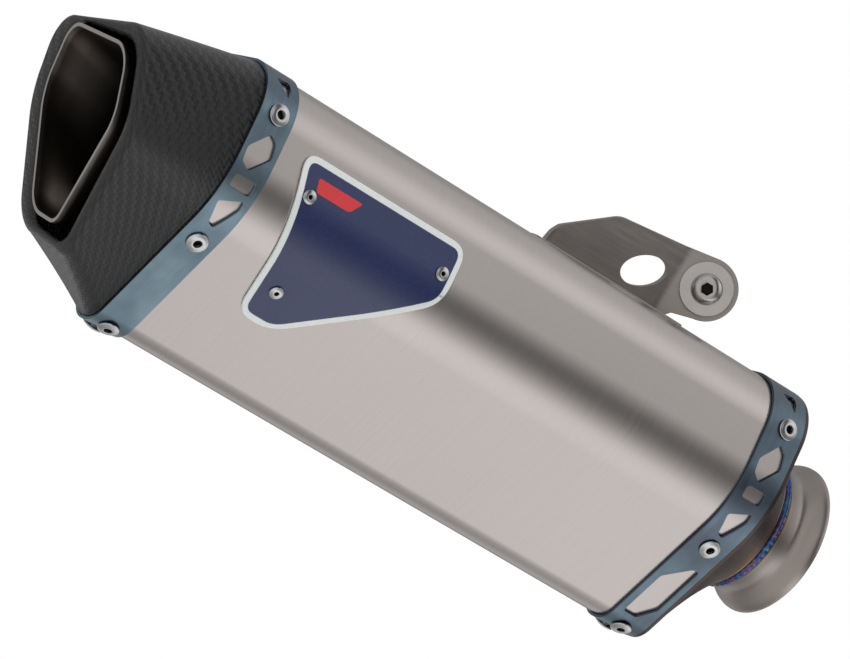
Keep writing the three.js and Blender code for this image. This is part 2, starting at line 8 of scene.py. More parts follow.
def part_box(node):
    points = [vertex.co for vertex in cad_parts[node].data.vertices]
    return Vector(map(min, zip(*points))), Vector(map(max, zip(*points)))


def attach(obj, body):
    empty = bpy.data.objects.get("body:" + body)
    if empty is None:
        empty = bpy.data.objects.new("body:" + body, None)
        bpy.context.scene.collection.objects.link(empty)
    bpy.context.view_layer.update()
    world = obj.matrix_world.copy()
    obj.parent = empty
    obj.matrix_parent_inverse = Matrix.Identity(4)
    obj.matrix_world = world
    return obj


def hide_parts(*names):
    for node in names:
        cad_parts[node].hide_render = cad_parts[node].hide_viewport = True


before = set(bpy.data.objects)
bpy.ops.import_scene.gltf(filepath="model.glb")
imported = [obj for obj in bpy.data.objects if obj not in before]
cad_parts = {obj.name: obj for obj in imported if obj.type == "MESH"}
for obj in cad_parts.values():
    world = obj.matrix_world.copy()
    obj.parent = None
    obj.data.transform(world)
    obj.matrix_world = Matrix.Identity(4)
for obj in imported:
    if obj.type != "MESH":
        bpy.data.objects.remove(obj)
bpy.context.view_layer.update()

# -------- sizes, in metres
GAP = 0.0003
# The can is symmetric about a plane through this point that leans over towards +Y.
CAN_PLANE = Vector((-0.013, -0.069))
CAN_TILT = math.radians(8.4)


def mirrored(y, z):
    """Place on the far side of the can for a place on its near side."""
    normal = Vector((math.cos(CAN_TILT), -math.sin(CAN_TILT)))
    place = Vector((y, z))
    place -= normal * (2 * (place - CAN_PLANE).dot(normal))
    return place.x, place.y


# Outlines: [y, z, corner radius] of the corners, from the top on the +Y side down and round.
NEAR = ((-0.020, -0.0665, 0.012), (-0.0583, 0.0063, 0.050), (-0.0465, 0.0612, 0.023))
CAN = tuple((*mirrored(y, z), radius) for y, z, radius in reversed(NEAR)) + NEAR
RIM = ((0.054, 0.0342, 0.020), (0.0565, -0.001, 0.036), (0.030, -0.050, 0.024),
       (-0.024, -0.0515, 0.012), (-0.0515, 0.008, 0.030), (-0.035, 0.049, 0.022))
MOUTH = ((0.0335, 0.0363, 0.015), (0.042, 0.004, 0.028), (0.018, -0.0455, 0.016),
         (-0.0185, -0.0465, 0.011), (-0.0405, 0.009, 0.020), (-0.0295, 0.040, 0.017))
TIP = ((0.0315, 0.0348, 0.013), (0.0395, 0.004, 0.026), (0.0155, -0.042, 0.016),
       (-0.011, -0.042, 0.009), (-0.036, 0.008, 0.020), (-0.028, 0.0368, 0.015))
OUTLET_SLANT = -0.27

SHEET = 0.0012
STRAP_INNER = GAP
STRAP_OUTER = STRAP_INNER + SHEET
BADGE_TOP = GAP + 0.001
RIVET_SEAT = STRAP_OUTER + GAP
BADGE_SEAT = BADGE_TOP + GAP
ARC_STEPS = 16


def x_range(node):
    """Front and rear end of a CAD node along the can."""
    low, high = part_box(node)
    return low[0], high[0]


def middle(node):
    low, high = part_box(node)
    return (Vector(low) + Vector(high)) / 2


# -------- outlines
def outline(section, offset=0.0, stretch_steps=(1, 1, 1, 1, 1, 1)):
    """Rounded outline as [y, z] points, from the top corner on the +Y side down and round."""
    corners = list(section)
    count = len(corners)
    arcs = []
    for i, (y, z, radius) in enumerate(corners):
        here = Vector((y, z))
        before = (Vector(corners[i - 1][:2]) - here).normalized()
        after = (Vector(corners[(i + 1) % count][:2]) - here).normalized()
        half_angle = math.acos(before.dot(after)) / 2
        inward = (before + after).normalized()
        centre = here + inward * (radius / math.sin(half_angle))
        sweep = math.pi - 2 * half_angle
        start = math.atan2(-inward.y, -inward.x) + sweep / 2
        reach = radius + offset
        angles = [start - sweep * k / ARC_STEPS for k in range(ARC_STEPS + 1)]
        arcs.append([centre + reach * Vector((math.cos(a), math.sin(a))) for a in angles])
    points = []
    for i, arc in enumerate(arcs):
        points += arc
        end = arcs[(i + 1) % count][0]
        points += [arc[-1].lerp(end, k / stretch_steps[i]) for k in range(1, stretch_steps[i])]
    return points


ROUND_STRETCHES = (8, 12, 4, 12, 8, 16)


def fine(section, offset=0.0):
    return outline(section, offset, ROUND_STRETCHES)


def circle_like(radius):
    """Circle with one point at the angle of each point of the can's fine outline."""
    return [p.normalized() * radius for p in fine(CAN)]


def blended(a, b, t):
    return [p.lerp(q, t) for p, q in zip(a, b)]


def ring(points, x, slant=0.0):
    return [Vector((x + slant * p.y, p.x, p.y)) for p in points]


def seat(position, offset):
    """Matrix on the can's surface nearest to a position: local Z points out, local X along the can."""
    points = outline(CAN, offset)
    target = Vector((position.y, position.z))
    best = None
    for a, b in zip(points, points[1:] + points[:1]):
        along = b - a
        t = min(max((target - a).dot(along) / along.length_squared, 0.0), 1.0)
        foot = a + along * t
        distance = (target - foot).length
        if best is None or distance < best[0]:
            best = (distance, foot, along.normalized())
    foot, along = best[1], best[2]
    out = Vector((0.0, -along.y, along.x))
    if out.y * foot.x + out.z * foot.y < 0:
        out.negate()
    lengthwise = Vector((1.0, 0.0, 0.0))
    sideways = out.cross(lengthwise)
    matrix = Matrix((lengthwise, sideways, out)).transposed().to_4x4()
    matrix.translation = Vector((position.x, foot.x, foot.y))
    return matrix


# -------- meshes
def new_object(name, mesh):
    obj = bpy.data.objects.new(name, mesh)
    bpy.context.scene.collection.objects.link(obj)
    return obj


def face_outward(mesh):
    bm = bmesh.new()
    bm.from_mesh(mesh)
    if bm.calc_volume(signed=True) < 0:
        bmesh.ops.reverse_faces(bm, faces=bm.faces)
    bm.to_mesh(mesh)
    bm.free()


def solid(name, vertices, faces, mend=None):
    """Object with these faces, mended if asked and turned outward."""
    mesh = bpy.data.meshes.new(name)
    mesh.from_pydata(vertices, [], faces)
    if mend:
        bm = bmesh.new()
        bm.from_mesh(mesh)
        mend(bm)
        bm.to_mesh(mesh)
        bm.free()
    face_outward(mesh)
    return new_object(name, mesh)


def join_poles(bm):
    bmesh.ops.remove_doubles(bm, verts=bm.verts, dist=1e-7)
    bmesh.ops.dissolve_degenerate(bm, edges=bm.edges, dist=1e-8)


def even_normals(bm):
    bmesh.ops.recalc_face_normals(bm, faces=bm.faces)


def loop_faces(steps, rows, closed=True):
    """Quads between columns of points, the last column joined to the first."""
    faces = []
    for k in range(steps):
        n = (k + 1) % steps
        for i in range(rows if closed else rows - 1):
            j = (i + 1) % rows
            faces.append((k * rows + i, n * rows + i, n * rows + j, k * rows + j))
    return faces


def wall(name, rings):
    """Closed wall through rings, the last joined to the first, with UVs of real length in metres."""
    around, rows = len(rings[0]), len(rings)
    vertices = [p for row in rings for p in row]
    faces = []
    uvs = []
    lengths = []
    for row in rings:
        total = [0.0]
        for a, b in zip(row, row[1:] + row[:1]):
            total.append(total[-1] + (b - a).length)
        lengths.append(total)
    along = [0.0]
    for a, b in zip(rings, rings[1:] + rings[:1]):
        along.append(along[-1] + (a[0] - b[0]).length)
    for i in range(rows):
        n = (i + 1) % rows
        for j in range(around):
            k = (j + 1) % around
            faces.append((i * around + j, i * around + k, n * around + k, n * around + j))
            uvs += [(lengths[i][j], along[i]), (lengths[i][j + 1], along[i]),
                    (lengths[n][j + 1], along[i + 1]), (lengths[n][j], along[i + 1])]
    mesh = bpy.data.meshes.new(name)
    mesh.from_pydata(vertices, [], faces)
    layer = mesh.uv_layers.new(name="UVMap")
    for loop, uv in zip(layer.data, uvs):
        loop.uv = uv
    face_outward(mesh)
    return new_object(name, mesh)


def shell(name, section, front, rear, inner, outer):
    return wall(name, [
        ring(outline(section, outer), front),
        ring(outline(section, outer), rear),
        ring(outline(section, inner), rear),
        ring(outline(section, inner), front),
    ])


def lathe(name, profile, steps=64, closed=False, along_x=False):
    """Turned piece from [radius, height] points, about Z or, with along_x, about X."""
    vertices = []
    for k in range(steps):
        angle = 2 * math.pi * k / steps
        for radius, height in profile:
            x, y = radius * math.cos(angle), radius * math.sin(angle)
            vertices.append((height, x, y) if along_x else (x, y, height))
    return solid(name, vertices, loop_faces(steps, len(profile), closed), join_poles)


def prism(name, points, low, high):
    """Closed prism over [x, y] points between two heights."""
    count = len(points)
    vertices = [(x, y, low) for x, y in points] + [(x, y, high) for x, y in points]
    faces = [tuple(range(count)), tuple(range(count, 2 * count))[::-1]]
    faces += [(i, (i + 1) % count, (i + 1) % count + count, i + count) for i in range(count)]
    return solid(name, vertices, faces, even_normals)


def curved(start, control, end, t):
    """Place along a quadratic curve."""
    return start * (1 - t) ** 2 + control * 2 * t * (1 - t) + end * t * t


def eased(t):
    """Share that starts and ends level."""
    return t * t * (3 - 2 * t)


def rounded(points, radius, steps=6):
    """Polygon's corners cut round with quadratic curves that start radius away from each corner."""
    result = []
    count = len(points)
    for i in range(count):
        here = Vector(points[i])
        start = here + (Vector(points[i - 1]) - here).normalized() * radius
        end = here + (Vector(points[(i + 1) % count]) - here).normalized() * radius
        result += [curved(start, here, end, k / steps) for k in range(steps + 1)]
    return [(p.x, p.y) for p in result]


def circle(radius, steps=32):
    return [(radius * math.cos(2 * math.pi * k / steps), radius * math.sin(2 * math.pi * k / steps))
            for k in range(steps)]


def apply_modifiers(obj):
    bpy.context.view_layer.update()
    graph = bpy.context.evaluated_depsgraph_get()
    mesh = bpy.data.meshes.new_from_object(obj.evaluated_get(graph))
    old = obj.data
    obj.modifiers.clear()
    obj.data = mesh
    bpy.data.meshes.remove(old)


def joined(tools):
    """One object from several, each with its matrix applied."""
    bm = bmesh.new()
    for tool in tools:
        mesh = tool.data.copy()
        mesh.transform(tool.matrix_basis)
        bm.from_mesh(mesh)
        bpy.data.meshes.remove(mesh)
        bpy.data.objects.remove(tool)
    mesh = bpy.data.meshes.new("tool")
    bm.to_mesh(mesh)
    bm.free()
    return new_object("tool", mesh)


def carve(obj, tools, operation="DIFFERENCE"):
    tool = joined(tools)
    modifier = obj.modifiers.new("carve", "BOOLEAN")
    modifier.object = tool
    modifier.operation = operation
    modifier.solver = "EXACT"
    apply_modifiers(obj)
    bpy.data.objects.remove(tool)


def polished(obj, bevel=0.0, angle=35.0, segments=2):
    """Rounds the sharp edges, shades the rest smooth and keeps flat faces flat."""
    for polygon in obj.data.polygons:
        polygon.use_smooth = True
    obj.data.set_sharp_from_angle(angle=math.radians(angle))
    if bevel:
        modifier = obj.modifiers.new("bevel", "BEVEL")
        modifier.width = bevel
        modifier.segments = segments
        modifier.limit_method = "ANGLE"
        modifier.angle_limit = math.radians(angle)
        modifier.miter_outer = "MITER_ARC"
    weighted = obj.modifiers.new("normals", "WEIGHTED_NORMAL")
    weighted.keep_sharp = not bevel
    apply_modifiers(obj)
    return obj


# -------- materials
# Most values of a noise texture lie between these.
NOISE_LOW, NOISE_HIGH = 0.3, 0.7


class Paint:
    """A node material under construction."""

    def __init__(self, name, metallic=1.0, roughness=0.4, **shader):
        self.material = bpy.data.materials.new(name)
        self.material.use_nodes = True
        self.tree = self.material.node_tree
        self.shader = self.tree.nodes["Principled BSDF"]
        self.shader.inputs["Metallic"].default_value = metallic
        self.shader.inputs["Roughness"].default_value = roughness
        for socket, value in shader.items():
            self.shader.inputs[socket.replace("_", " ")].default_value = value
        self.coords = self.make("TexCoord").outputs["Object"]

    def make(self, kind, links=None, **settings):
        node = self.tree.nodes.new("ShaderNode" + kind)
        for key, value in settings.items():
            setattr(node, key, value)
        for key, value in (links or {}).items():
            if isinstance(value, bpy.types.NodeSocket):
                self.tree.links.new(value, node.inputs[key])
            else:
                node.inputs[key].default_value = value
        return node

    def math(self, operation, a, b=0.0):
        return self.make("Math", {0: a, 1: b}, operation=operation).outputs[0]

    def add(self, a, b):
        return self.math("ADD", a, b)

    def minus(self, a, b):
        return self.math("SUBTRACT", a, b)

    def times(self, a, b):
        return self.math("MULTIPLY", a, b)

    def stretched(self, scale):
        return self.make("Mapping", {"Vector": self.coords, "Scale": scale}).outputs[0]

    def noise(self, scale, vector=None, detail=3.0, roughness=0.5):
        links = {"Vector": vector or self.coords, "Scale": scale, "Detail": detail, "Roughness": roughness}
        return self.make("TexNoise", links).outputs["Fac"]

    def ramp(self, factor, stops):
        node = self.make("ValToRGB", {"Fac": factor})
        elements = node.color_ramp.elements
        while len(elements) < len(stops):
            elements.new(0.5)
        for element, (place, colour) in zip(elements, stops):
            element.position = place
            element.color = (*colour, 1.0)
        return node.outputs["Color"]

    def mix(self, factor, a, b, blend="MIX"):
        node = self.make("Mix", data_type="RGBA", blend_type=blend)
        for socket, value in ((node.inputs[0], factor), (node.inputs[6], a), (node.inputs[7], b)):
            if isinstance(value, bpy.types.NodeSocket):
                self.tree.links.new(value, socket)
            else:
                socket.default_value = value if isinstance(value, float) else (*value, 1.0)
        return node.outputs[2]

    def remap(self, value, low, high, to_low, to_high):
        links = {0: value, 1: low, 2: high, 3: to_low, 4: to_high}
        return self.make("MapRange", links).outputs[0]

    def spread(self, noise, to_low, to_high):
        """Noise stretched to run between two values."""
        return self.remap(noise, NOISE_LOW, NOISE_HIGH, to_low, to_high)

    def shades(self, noise, dark, light):
        return self.ramp(noise, ((NOISE_LOW, dark), (NOISE_HIGH, light)))

    def axis(self, name, vector=None):
        return self.make("SeparateXYZ", {0: vector or self.coords}).outputs[name]

    def use(self, colour, roughness=None, height=None, depth=0.0001):
        self.tree.links.new(colour, self.shader.inputs["Base Color"])
        if roughness is not None:
            self.tree.links.new(roughness, self.shader.inputs["Roughness"])
        if height is not None:
            bump = self.make("Bump", {"Height": height, "Distance": depth, "Strength": 1.0})
            self.tree.links.new(bump.outputs[0], self.shader.inputs["Normal"])
        return self.material


GRAIN_SHARE, CLOUD_SHARE = 0.55, 0.45


def brushed(name, dark, light, streaks, low, high, mottling=6.0, depth=0.00003):
    """Brushed metal: streaks is the grain's scale along X, Y and Z; low and high are its roughness."""
    paint = Paint(name)
    grain = paint.noise(1.0, paint.stretched(streaks), detail=4.0, roughness=0.6)
    cloud = paint.noise(mottling, detail=2.0)
    shade = paint.add(paint.times(grain, GRAIN_SHARE), paint.times(cloud, CLOUD_SHARE))
    colour = paint.shades(shade, dark, light)
    rough = paint.spread(grain, low, high)
    return paint.use(colour, rough, grain, depth)


# Painted shade in fastener recesses: its dark colour, the depth over which it fades in, and the extra
# roughness there.
PAINTED_RECESS_SHADE = (0.035, 0.032, 0.030)
RECESS_FADE = 0.0005
RECESS_ROUGHNESS = 0.4


def recessed(name, dark, light, floor_z, reach):
    """Bright fastener metal, dull below floor_z inside a recess of the given reach, with painted shade
    there: the recess is coloured dark.
    """
    paint = Paint(name)
    grain = paint.noise(260.0, detail=4.0, roughness=0.6)
    bright = paint.shades(grain, dark, light)
    x, y, z = (paint.axis(axis) for axis in "XYZ")
    radius = paint.math("SQRT", paint.add(paint.times(x, x), paint.times(y, y)))
    inside = paint.math("LESS_THAN", radius, reach)
    below = paint.remap(z, floor_z - RECESS_FADE, floor_z, 1.0, 0.0)
    deep = paint.times(inside, below)
    # Painted shade: the recess floor is coloured dark.
    colour = paint.mix(deep, bright, PAINTED_RECESS_SHADE)
    rough = paint.add(paint.spread(grain, 0.18, 0.30), paint.times(deep, RECESS_ROUGHNESS))
    return paint.use(colour, rough, grain, 0.00002)


def sleeve_titanium():
    return brushed("brushed_titanium", (0.545, 0.500, 0.480), (0.590, 0.543, 0.520),
                   (900.0, 14.0, 14.0), 0.23, 0.26, mottling=9.0, depth=0.000002)


def blue_titanium():
    paint = Paint("blue_titanium")
    grain = paint.noise(1.0, paint.stretched((700.0, 60.0, 60.0)), detail=3.0)
    cloud = paint.noise(28.0, detail=3.0, roughness=0.6)
    # Painted light and shade: lift colours the straps lighter towards the bottom and darker towards the top,
    # and along colours them darker towards the inlet end.
    height = paint.axis("Z")
    lift = paint.remap(height, -0.07, 0.06, 0.14, -0.08)
    along = paint.remap(paint.axis("X"), -0.36, -0.05, 0.10, -0.08)
    shade = paint.add(cloud, paint.add(lift, along))
    colour = paint.ramp(shade, ((0.28, (0.115, 0.142, 0.178)), (0.45, (0.14, 0.188, 0.232)),
                                (0.62, (0.185, 0.262, 0.312)), (0.80, (0.25, 0.345, 0.395))))
    violet = paint.noise(17.0, paint.stretched((1.0, 1.0, 1.4)), detail=2.0)
    tint = paint.remap(violet, 0.55, 0.75, 0.0, 0.25)
    colour = paint.mix(tint, colour, (0.19, 0.17, 0.33))
    return paint.use(colour, paint.spread(grain, 0.26, 0.38), grain, 0.00001)


TOW, TOW_RELIEF = 0.0023, 0.00042
TWILL_REPEAT, TWILL_STEP = 4.0, 2.0
CROWN = 0.35
FIBRE_WAVES, FIBRE_RELIEF = 60.0, 0.04


def carbon_fibre():
    """Twill weave on the cap's own UVs: each tow is a ridge that catches the light by its direction."""
    paint = Paint("carbon_fibre", metallic=0.0, roughness=0.4, Coat_Weight=0.45, Coat_Roughness=0.16,
                  Specular_IOR_Level=0.6)
    uv = paint.make("TexCoord").outputs["UV"]
    u = paint.math("DIVIDE", paint.axis("X", uv), TOW)
    v = paint.math("DIVIDE", paint.axis("Y", uv), TOW)
    cell_u = paint.math("FLOOR", u)
    cell_v = paint.math("FLOOR", v)
    part_u = paint.minus(u, cell_u)
    part_v = paint.minus(v, cell_v)
    phase = paint.math("FLOORED_MODULO", paint.add(cell_u, cell_v), TWILL_REPEAT)
    warp = paint.math("LESS_THAN", phase, TWILL_STEP)
    bow_u = paint.math("SINE", paint.times(part_u, math.pi))
    bow_v = paint.math("SINE", paint.times(part_v, math.pi))
    tow_u = paint.add(bow_v, paint.times(bow_u, CROWN))
    tow_v = paint.add(bow_u, paint.times(bow_v, CROWN))
    fibre_u = paint.math("SINE", paint.times(v, FIBRE_WAVES))
    fibre_v = paint.math("SINE", paint.times(u, FIBRE_WAVES))
    not_warp = paint.minus(1.0, warp)
    height = paint.add(paint.times(tow_u, warp), paint.times(tow_v, not_warp))
    fibre = paint.add(paint.times(fibre_u, warp), paint.times(fibre_v, not_warp))
    relief = paint.add(height, paint.times(fibre, FIBRE_RELIEF))
    cloud = paint.noise(60.0, detail=2.0)
    shade = paint.add(paint.times(warp, 0.55), paint.times(cloud, 0.3))
    colour = paint.ramp(shade, ((0.15, (0.002, 0.002, 0.002)), (0.8, (0.015, 0.016, 0.017))))
    rough = paint.remap(warp, 0.0, 1.0, 0.24, 0.40)
    return paint.use(colour, rough, relief, TOW_RELIEF)


# How far into the tip the darkening reaches: painted shade of the tube's inside, with soot.
SHADE_AND_SOOT_REACH = 0.06


def tip_titanium(rim_x):
    """Sheet that is lighter at the slanted rim, and darker and rougher further in: painted shade inside the
    tube, with soot.
    """
    paint = Paint("tip_titanium")
    grain = paint.noise(1.0, paint.stretched((60.0, 500.0, 500.0)), detail=3.0)
    upright = paint.minus(paint.axis("X"), paint.times(paint.axis("Z"), OUTLET_SLANT))
    # Painted shade, with soot patches: the colour darkens to near black deep inside the tube.
    depth = paint.remap(upright, rim_x, rim_x + SHADE_AND_SOOT_REACH, 0.0, 1.0)
    soot = paint.times(paint.minus(paint.noise(40.0, detail=4.0), 0.5), depth)
    inward = paint.add(depth, soot)
    colour = paint.ramp(inward, ((0.0, (0.72, 0.67, 0.63)), (0.022, (0.60, 0.55, 0.51)),
                                 (0.04, (0.24, 0.20, 0.17)), (0.20, (0.10, 0.085, 0.074)),
                                 (0.50, (0.020, 0.018, 0.016)), (1.0, (0.006, 0.005, 0.005))))
    return paint.use(colour, paint.remap(inward, 0.0, 1.0, 0.28, 0.75), grain, 0.00002)


def heated_steel(name, cold, warm, weld_x, reach):
    """Sheet that turns from its cold colour to straw, then blue, towards a weld at weld_x."""
    paint = Paint(name)
    grain = paint.noise(1.0, paint.stretched((300.0, 40.0, 40.0)), detail=3.0)
    cloud = paint.noise(45.0, detail=3.0)
    distance = paint.math("ABSOLUTE", paint.minus(paint.axis("X"), weld_x))
    near = paint.remap(distance, 0.0, reach, 1.0, 0.0)
    heat = paint.add(near, paint.times(paint.minus(cloud, 0.5), 0.25))
    colour = paint.ramp(heat, ((0.15, cold), (0.55, warm), (0.75, (0.38, 0.27, 0.14)),
                               (0.90, (0.17, 0.13, 0.20)), (1.0, (0.10, 0.16, 0.27))))
    return paint.use(colour, paint.spread(grain, 0.30, 0.42), grain, 0.00002)


def weld_bead():
    paint = Paint("heat_tinted_weld")
    cloud = paint.noise(130.0, detail=3.0)
    side = paint.noise(30.0, detail=1.0)
    shade = paint.add(paint.times(cloud, 0.6), paint.times(side, 0.4))
    colour = paint.ramp(shade, ((0.32, (0.34, 0.25, 0.14)), (0.42, (0.19, 0.13, 0.20)),
                                (0.52, (0.07, 0.11, 0.30)), (0.62, (0.09, 0.22, 0.32)),
                                (0.74, (0.30, 0.27, 0.22))))
    return paint.use(colour, paint.spread(cloud, 0.18, 0.34), cloud, 0.00008)


def enamel(name, dark, light):
    paint = Paint(name, metallic=0.0, roughness=0.28, Coat_Weight=0.5, Coat_Roughness=0.08)
    orange_peel = paint.noise(380.0, detail=2.0)
    cloud = paint.noise(12.0, detail=2.0)
    return paint.use(paint.shades(cloud, dark, light),
                     paint.spread(orange_peel, 0.22, 0.32), orange_peel, 0.00001)


def glass_wool():
    paint = Paint("glass_wool", metallic=0.0, roughness=0.95)
    fibre = paint.noise(1.0, paint.stretched((80.0, 900.0, 900.0)), detail=5.0)
    colour = paint.shades(fibre, (0.45, 0.40, 0.26), (0.78, 0.74, 0.58))
    return paint.use(colour, None, fibre, 0.0005)


# -------- pieces
def stand_for(obj, material, slot, *nodes, body="silencer"):
    obj.data.materials.clear()
    obj.data.materials.append(material)
    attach(obj, body)
    if nodes:
        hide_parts(*nodes)
    return obj


def make_sleeve(material):
    front, rear = x_range("outer_sleeve")
    obj = shell("sleeve", CAN, front, rear, -SHEET, 0.0)
    return stand_for(polished(obj, 0.0002), material, "brushed_titanium", "outer_sleeve")


MM = 0.001
FRONT_DIAMOND = ((-5.9, -6.5), (-1.3, -9.1), (6.5, 0), (5.2, 6.5), (1.3, 9.1), (-6.5, 0))
REAR_DIAMOND = ((-5.9, -6.5), (-1.3, -9.8), (6.5, 0), (5.2, 6.5), (1.3, 9.8), (-6.5, 0))
WEDGE = ((-5.5, 2.8), (5, 7.7), (5.5, 3.3), (1.1, -8.8), (-2.2, -7.7))
LONG_SLOT = ((-6.3, -17.5), (1.2, -17.5), (6.9, -9.2), (6.9, 17.5), (3.5, 17.5), (-6.3, 6.9))
SMALL_BOX = ((-5.5, -3.2), (5.5, -3.2), (5.5, 3.2), (-5.5, 3.2))
CORNER_CUT = ((-3.5, 3.5), (3.5, 4.5), (4, 0), (3, -5))
SIDE_Y = -0.056
# Windows of a strap: [outline, corner radius in mm, y and z of its place in metres].
BOTH_STRAPS = ((SMALL_BOX, 2.2, SIDE_Y, 0.012), (CORNER_CUT, 1.2, -0.043, 0.055))
FRONT_WINDOWS = BOTH_STRAPS + ((FRONT_DIAMOND, 1.4, SIDE_Y, 0.027), (WEDGE, 1.4, SIDE_Y, -0.0015))
REAR_WINDOWS = BOTH_STRAPS + ((REAR_DIAMOND, 1.4, SIDE_Y, 0.0275), (WEDGE, 1.4, SIDE_Y, -0.0035),
                              (LONG_SLOT, 1.4, -0.034, -0.045))
WINDOW_DEPTH = 0.004
STRAP_HOLE, BADGE_HOLE = 0.0025, 0.0018


def window_tools(x, windows):
    tools = []
    for points, radius, y, z in windows:
        for up_sign, place in ((1, (y, z)), (-1, mirrored(y, z))):
            flat = [(px * MM, up_sign * up * MM) for px, up in points]
            tool = prism("tool", rounded(flat, radius * MM), -WINDOW_DEPTH, WINDOW_DEPTH)
            tool.matrix_basis = seat(Vector((x, *place)), STRAP_OUTER)
            tools.append(tool)
    return tools


def rivet_drills(prefix, count, radius, offset):
    drills = []
    for k in range(1, count + 1):
        drill = prism("tool", circle(radius), -WINDOW_DEPTH, WINDOW_DEPTH)
        drill.matrix_basis = seat(middle(f"{prefix}_{k}"), offset)
        drills.append(drill)
    return drills


def make_strap(name, node, windows, material):
    front, rear = x_range(node)
    obj = shell(name, CAN, front, rear, STRAP_INNER, STRAP_OUTER)
    drills = rivet_drills(node + "_rivet", 6, STRAP_HOLE, RIVET_SEAT)
    carve(obj, window_tools((front + rear) / 2, windows) + drills)
    return stand_for(polished(obj, 0.0002), material, "blue_titanium", node)


def rivet_mesh(head, height, recess, shank, grip):
    """Blind rivet: a domed flange with a rounded edge round the broken mandrel's recess."""
    lip = height * 0.3
    profile = [(0.0, -grip - 2.2 * shank), (shank * 0.9, -grip - 2.2 * shank), (shank * 1.5, -grip - shank),
               (shank, -grip), (shank, 0.0), (head - lip, 0.0)]
    for k in range(1, 7):
        angle = -math.pi / 2 + math.pi * k / 6
        profile.append((head - lip + lip * math.cos(angle), lip + lip * math.sin(angle)))
    for k in range(1, 9):
        t = k / 8
        profile.append((head - lip - (head - lip - recess * 1.25) * t,
                        2 * lip + (height - 2 * lip) * math.sin(t * math.pi / 2)))
    profile += [(recess * 1.08, height - 0.00005), (recess, height - 0.0002), (recess, -2 * height),
                (recess * 0.6, -2 * height), (recess * 0.5, -1.7 * height), (0.0, -1.6 * height)]
    obj = polished(lathe("rivet_master", profile, 40), angle=50.0)
    mesh = obj.data
    bpy.data.objects.remove(obj)
    return mesh


def make_rivets(prefix, count, mesh, offset, material):
    for k in range(1, count + 1):
        node = f"{prefix}_{k}"
        obj = new_object("shown_" + node, mesh)
        obj.matrix_world = seat(middle(node), offset)
        bpy.context.view_layer.update()
        stand_for(obj, material, "rivet_aluminium", node)


LIP = 0.003
SHELL = 0.0025
SPIGOT = 0.002
LIP_STEPS, CAP_ROWS = 14, 12


def make_cap(material):
    """Carbon cap: sides from the can's section to the slanted rim, which rolls over into the mouth."""
    cap_front, spigot_rear = x_range("outlet_cap")
    can, rim, mouth = fine(CAN), fine(RIM), fine(MOUTH)
    rim_x = cap_front - OUTLET_SLANT * max(p.y for p in blended(mouth, rim, 0.45))
    shoulder = x_range("outer_sleeve")[0] - GAP
    brow = x_range("front_strap")[0] - GAP
    lip_x = rim_x + LIP
    spigot_outer = -SHEET - GAP
    spigot_inner = spigot_outer - SPIGOT
    rings = [
        ring(fine(CAN, spigot_outer), shoulder),
        ring(fine(CAN, spigot_outer), spigot_rear),
        ring(fine(CAN, spigot_inner), spigot_rear),
        ring(fine(CAN, spigot_inner), shoulder),
    ]
    inner_end = fine(RIM, -SHELL)
    for t in (0.4, 0.8):
        inner = blended(fine(CAN, spigot_inner), inner_end, t)
        rings.append(ring(inner, shoulder + (rim_x - shoulder) * t, OUTLET_SLANT * t))
    for k in range(LIP_STEPS + 1):
        angle = math.pi * k / LIP_STEPS
        across = (1 - math.cos(angle)) / 2
        rise = math.sin(angle)
        rings.append(ring(blended(mouth, rim, across), lip_x - LIP * rise, OUTLET_SLANT))
    for k in range(1, CAP_ROWS):
        t = 1 - k / CAP_ROWS
        rings.append(ring(blended(can, rim, t), brow + (lip_x - brow) * t, OUTLET_SLANT * t))
    rings.append(ring(can, brow))
    rings.append(ring(can, shoulder))
    return stand_for(polished(wall("cap", rings), angle=40.0), material, "carbon_fibre", "outlet_cap")


TIP_WALL = 0.0015
TIP_STEPS = 14
COLLAR_LENGTH, SHAPED_LENGTH = 0.0115, 0.023
SCREW_HOLE, SCREW_HOLE_RADIUS = (-0.3765, 0.024, -0.025), 0.0035
DRILL_REACH = 0.010


def tip_rim_x():
    """X at which the slanted rim of the tip crosses the axis."""
    return x_range("outlet_tip")[0] - OUTLET_SLANT * max(p.y for p in fine(TIP))


def make_tip(material):
    """Outlet tip: a round collar on the core that widens into the slanted outlet."""
    rim_x = tip_rim_x()
    collar_rear = x_range("outlet_tip")[1]
    collar_front = collar_rear - COLLAR_LENGTH
    shaped_x = rim_x + SHAPED_LENGTH
    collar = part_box("perforated_core")[1][2] + 2 * GAP
    rings = []
    for wall_offset, reverse in ((TIP_WALL, False), (0.0, True)):
        round_part = circle_like(collar + wall_offset)
        rim = fine(TIP, wall_offset - TIP_WALL)
        rows = [ring(rim, rim_x, OUTLET_SLANT)]
        for k in range(1, TIP_STEPS + 1):
            t = k / TIP_STEPS
            x = rim_x + (shaped_x - rim_x) * min(t * 2, 1.0)
            if t > 0.5:
                x = shaped_x + (collar_front - shaped_x) * (t * 2 - 1)
            fade = eased(t)
            rows.append(ring(blended(rim, round_part, fade), x, OUTLET_SLANT * (1 - fade)))
        rows.append(ring(round_part, collar_rear))
        rings += rows[::-1] if reverse else rows
    obj = wall("tip", rings)
    drill = prism("tool", circle(SCREW_HOLE_RADIUS), -DRILL_REACH, DRILL_REACH)
    drill.matrix_basis = Matrix.Translation(SCREW_HOLE) @ Matrix.Rotation(math.pi / 3, 4, "X")
    carve(obj, [drill])
    return stand_for(polished(obj, 0.00025, 50.0), material, "tip_titanium", "outlet_tip")


SKIRT_WALL, STANDING_RIM, CONE_WALL = 0.0015, 0.0017, 0.0031
CONE_STEPS, CONE_BOW = 16, 0.15
EDGE = 0.0006


